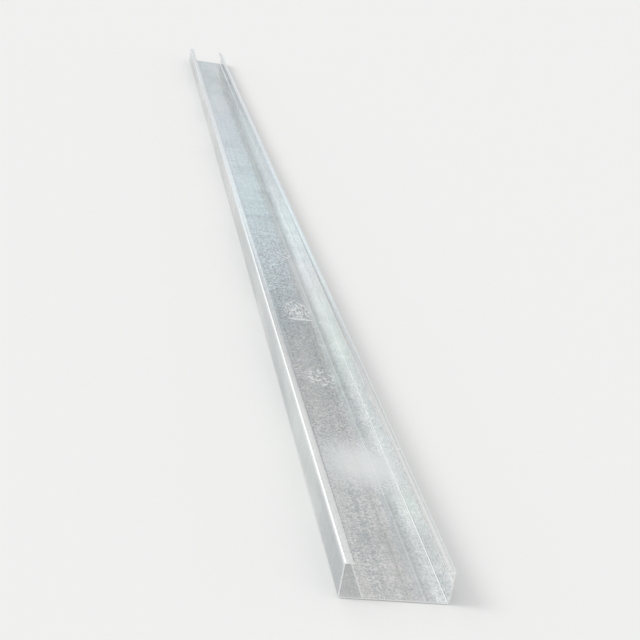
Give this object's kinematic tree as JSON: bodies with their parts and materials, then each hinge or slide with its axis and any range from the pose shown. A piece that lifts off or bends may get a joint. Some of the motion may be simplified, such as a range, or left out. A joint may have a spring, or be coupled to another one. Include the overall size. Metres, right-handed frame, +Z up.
{
  "type": "c channel",
  "caption": "Lipped C channel cold-formed from galvanised steel strip, with a flat web, equal flanges, inturned lips and square-cut ends, in a full stock length.",
  "frame": {"origin": "under the middle of the bar, on the outer face of the web", "axes": "+X across the web, +Y along the bar, +Z up the flanges to the open mouth"},
  "size_m": [0.2, 6, 0.07],
  "materials": {
    "galvanised_steel": "satin"
  },
  "bodies": {
    "root": {"c_channel": "galvanised_steel"}
  },
  "joints": []
}
